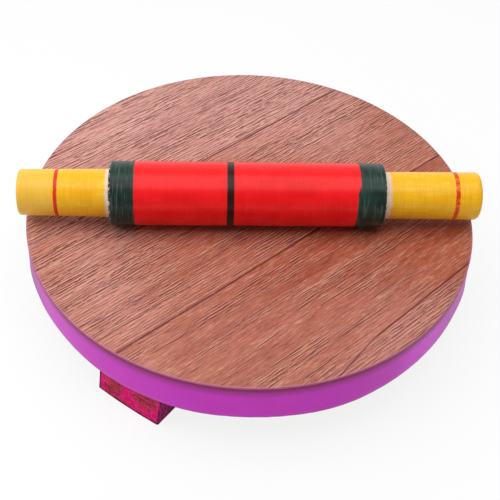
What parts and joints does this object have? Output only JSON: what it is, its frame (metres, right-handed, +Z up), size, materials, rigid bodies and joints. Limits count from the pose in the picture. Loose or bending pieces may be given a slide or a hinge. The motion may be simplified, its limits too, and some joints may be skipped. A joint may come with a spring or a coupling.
{
  "type": "rolling board with rolling pin",
  "caption": "Round rolling board on block feet, with a hard wood-look top, a plastic edge band and a turned, painted rolling pin lying across it.",
  "frame": {"origin": "on the board's axis, in the plane that the three feet stand on", "axes": "+Z up, +X along the rolling pin towards its right handle, -Y towards the front of the board"},
  "size_m": [0.2548, 0.254, 0.0857],
  "materials": {
    "core_board": "raw sawn board with a fine pressed grain",
    "wood_look_laminate": "satin reddish-brown laminate printed with diagonal planks and grain",
    "purple_edge_strip": "satin purple plastic strip",
    "painted_foot_wood": "rough sawn wood with thin worn magenta paint",
    "zinc_screw": "zinc-plated steel",
    "painted_pin_wood": "glossy paint on turned wood: red barrel, dark green bands and ring, yellow handles with a red line"
  },
  "bodies": {
    "board": {"board_core": "core_board", "top_laminate": "wood_look_laminate", "edge_band": "purple_edge_strip", "foot_front_left": "painted_foot_wood", "foot_right": "painted_foot_wood", "foot_rear_left": "painted_foot_wood", "foot_screws": "zinc_screw"},
    "pin": {"rolling_pin": "painted_pin_wood"}
  },
  "joints": [
    {"name": "pin_travel", "type": "slide", "parent": "board", "child": "pin", "axis": [0, 1, 0], "range_m": [-0.0863, 0.1037]}
  ]
}
